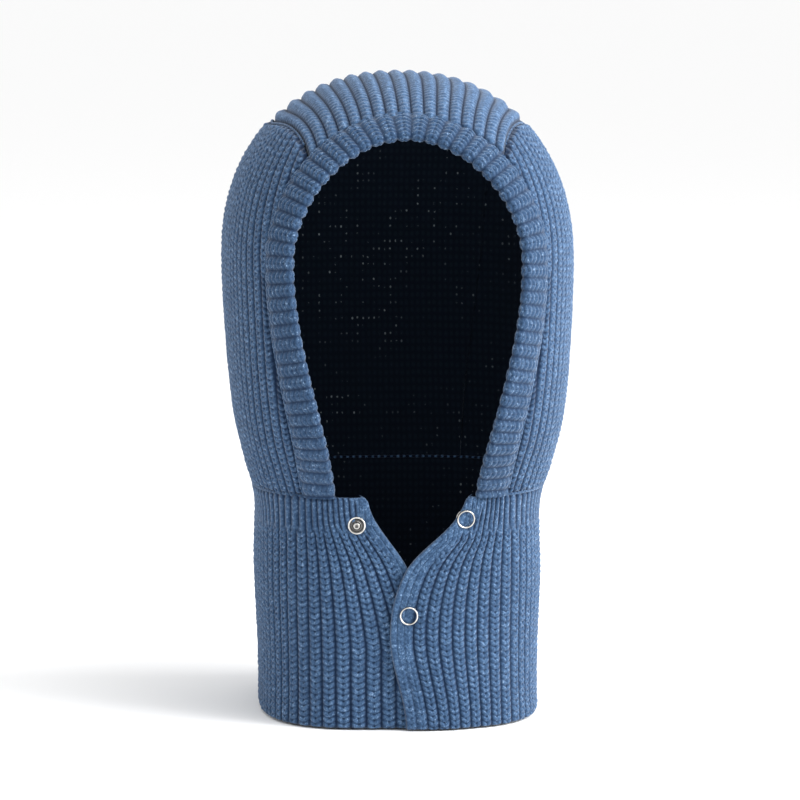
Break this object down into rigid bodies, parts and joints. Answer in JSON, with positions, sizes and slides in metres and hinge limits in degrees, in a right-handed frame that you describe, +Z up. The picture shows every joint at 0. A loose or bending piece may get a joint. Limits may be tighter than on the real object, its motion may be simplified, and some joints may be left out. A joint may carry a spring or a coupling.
{
  "type": "balaclava hood",
  "caption": "Knitted balaclava hood with a lined crown, a folded rib band round the face opening and a snap-fastened overlapping neck front.",
  "frame": {"origin": "middle of the hem of the collar, on the surface the hood stands on", "axes": "+Z up through the crown, the face opening looks towards -Y, +X is the wearer's left"},
  "size_m": [0.2, 0.2394, 0.366],
  "materials": {
    "knit": "chunky half-cardigan rib in melange denim-blue wool",
    "rib_band": "folded rib in melange denim-blue wool",
    "seam_thread": "linked yarn seam",
    "lining": "fine near-black navy knit",
    "snap_metal": "bright nickel plate"
  },
  "bodies": {
    "hood": {"crown_panel": "knit", "side_panel_left": "knit", "side_panel_right": "knit", "neck_collar": "knit", "face_band": "rib_band", "crown_seam_left": "seam_thread", "crown_seam_right": "seam_thread", "neck_seam": "seam_thread", "band_seam": "seam_thread", "lining_crown": "lining", "lining_side_left": "lining", "lining_side_right": "lining", "lining_collar": "lining", "lining_seam_left": "lining", "lining_seam_right": "lining", "lining_neck_seam": "lining"},
    "over_flap_body": {"over_flap": "knit", "over_flap_lining": "lining", "lower_snap_ring": "snap_metal", "lower_snap_socket": "snap_metal", "upper_snap_ring": "snap_metal", "upper_snap_socket": "snap_metal"},
    "under_flap_body": {"under_flap": "knit", "under_flap_lining": "lining", "lower_snap_stud": "snap_metal", "lower_snap_back_ring": "snap_metal", "upper_snap_stud": "snap_metal", "upper_snap_back_ring": "snap_metal"}
  },
  "joints": [
    {"name": "over_flap_fold", "type": "hinge", "parent": "hood", "child": "over_flap_body", "pos_m": [0.046, -0.093, 0.065], "axis": [0, 0, 1], "range_deg": [0, 110]},
    {"name": "under_flap_fold", "type": "hinge", "parent": "hood", "child": "under_flap_body", "pos_m": [-0.046, -0.093, 0.065], "axis": [0, 0, 1], "range_deg": [-44, 0]}
  ],
  "couplings": [
    {"joint": "under_flap_fold", "follows": "over_flap_fold", "ratio": -0.4}
  ]
}
